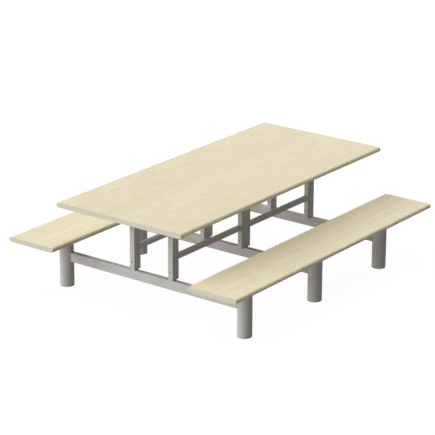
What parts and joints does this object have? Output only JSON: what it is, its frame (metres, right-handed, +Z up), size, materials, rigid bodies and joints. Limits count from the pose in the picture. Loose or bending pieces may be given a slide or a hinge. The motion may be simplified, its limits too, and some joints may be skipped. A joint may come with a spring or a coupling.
{
  "type": "table with fixed benches",
  "caption": "Long laminated dining table with a fixed bench on each side, carried by welded cross frames of round legs, beams and posts that bolted H frames brace.",
  "frame": {"origin": "on the floor under the middle of the table", "axes": "+Z up; +Y along the table and its benches; +X across the table, towards one bench"},
  "size_m": [1.913, 2.335, 0.752],
  "materials": {
    "laminate": "satin light maple laminate",
    "edge_band": "satin cream edge band",
    "frame_paint": "fine textured grey powder coat",
    "plate": "fine textured grey powder coat",
    "foot_cap": "moulded grey plastic",
    "plug": "moulded grey plastic",
    "bolt": "dark zinc plated steel",
    "screw": "zinc plated"
  },
  "bodies": {
    "root": {"bench_board_left": "laminate", "bench_board_right": "laminate", "bench_edge_band_left_front": "edge_band", "bench_edge_band_left_rear": "edge_band", "bench_edge_band_right_front": "edge_band", "bench_edge_band_right_rear": "edge_band", "bench_screws": "screw", "cross_beam_front": "frame_paint", "cross_beam_middle": "frame_paint", "cross_beam_rear": "frame_paint", "foot_cap_left_front": "foot_cap", "foot_cap_left_middle": "foot_cap", "foot_cap_left_rear": "foot_cap", "foot_cap_right_front": "foot_cap", "foot_cap_right_middle": "foot_cap", "foot_cap_right_rear": "foot_cap", "frame_bolts": "bolt", "frame_nuts": "bolt", "hframe_left_front_rail": "frame_paint", "hframe_left_front_upright_front": "frame_paint", "hframe_left_front_upright_rear": "frame_paint", "hframe_left_rear_rail": "frame_paint", "hframe_left_rear_upright_front": "frame_paint", "hframe_left_rear_upright_rear": "frame_paint", "hframe_right_front_rail": "frame_paint", "hframe_right_front_upright_front": "frame_paint", "hframe_right_front_upright_rear": "frame_paint", "hframe_right_rear_rail": "frame_paint", "hframe_right_rear_upright_front": "frame_paint", "hframe_right_rear_upright_rear": "frame_paint", "leg_left_front": "frame_paint", "leg_left_middle": "frame_paint", "leg_left_rear": "frame_paint", "leg_plate_left_front": "plate", "leg_plate_left_middle": "plate", "leg_plate_left_rear": "plate", "leg_plate_right_front": "plate", "leg_plate_right_middle": "plate", "leg_plate_right_rear": "plate", "leg_right_front": "frame_paint", "leg_right_middle": "frame_paint", "leg_right_rear": "frame_paint", "post_left_front": "frame_paint", "post_left_middle": "frame_paint", "post_left_rear": "frame_paint", "post_plate_left_front": "plate", "post_plate_left_middle": "plate", "post_plate_left_rear": "plate", "post_plate_right_front": "plate", "post_plate_right_middle": "plate", "post_plate_right_rear": "plate", "post_right_front": "frame_paint", "post_right_middle": "frame_paint", "post_right_rear": "frame_paint", "table_edge_band_front": "edge_band", "table_edge_band_rear": "edge_band", "table_screws": "screw", "table_top": "laminate", "upright_plugs": "plug"}
  },
  "joints": []
}
